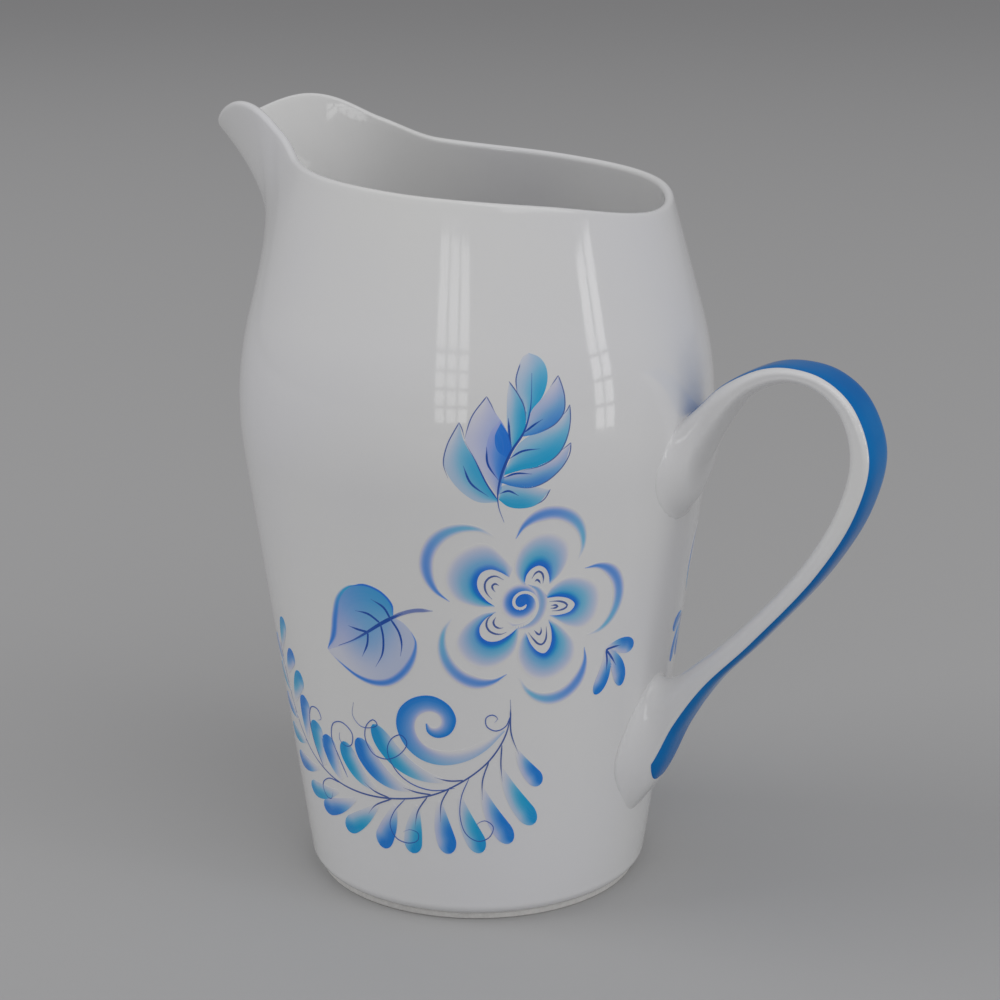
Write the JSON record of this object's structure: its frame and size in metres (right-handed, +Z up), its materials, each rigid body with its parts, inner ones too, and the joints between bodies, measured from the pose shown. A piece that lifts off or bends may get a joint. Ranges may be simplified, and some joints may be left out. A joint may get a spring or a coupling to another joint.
{
  "type": "milk jug",
  "caption": "Glazed porcelain milk jug with a conical body, rounded shoulder, rising rim, pulled pouring spout and an ear-shaped strap handle with a blue band, for holding and pouring milk.",
  "frame": {"origin": "middle of the jug's reach along X, on its plane of symmetry and on the surface that it stands on", "axes": "+Z up along the jug's axis, +X towards the handle, -X towards the spout"},
  "size_m": [0.1906, 0.125, 0.2054],
  "materials": {
    "porcelain": "opaque white porcelain under a clear gloss glaze",
    "biscuit": "opaque unglazed matt porcelain",
    "blue_enamel": "opaque blue gloss enamel"
  },
  "bodies": {
    "root": {"body_shell": "porcelain", "spout": "porcelain", "spout_slip": "porcelain", "foot_ring": "biscuit", "handle": "porcelain", "upper_handle_slip": "porcelain", "lower_handle_slip": "porcelain", "handle_stripe": "blue_enamel"}
  },
  "joints": []
}
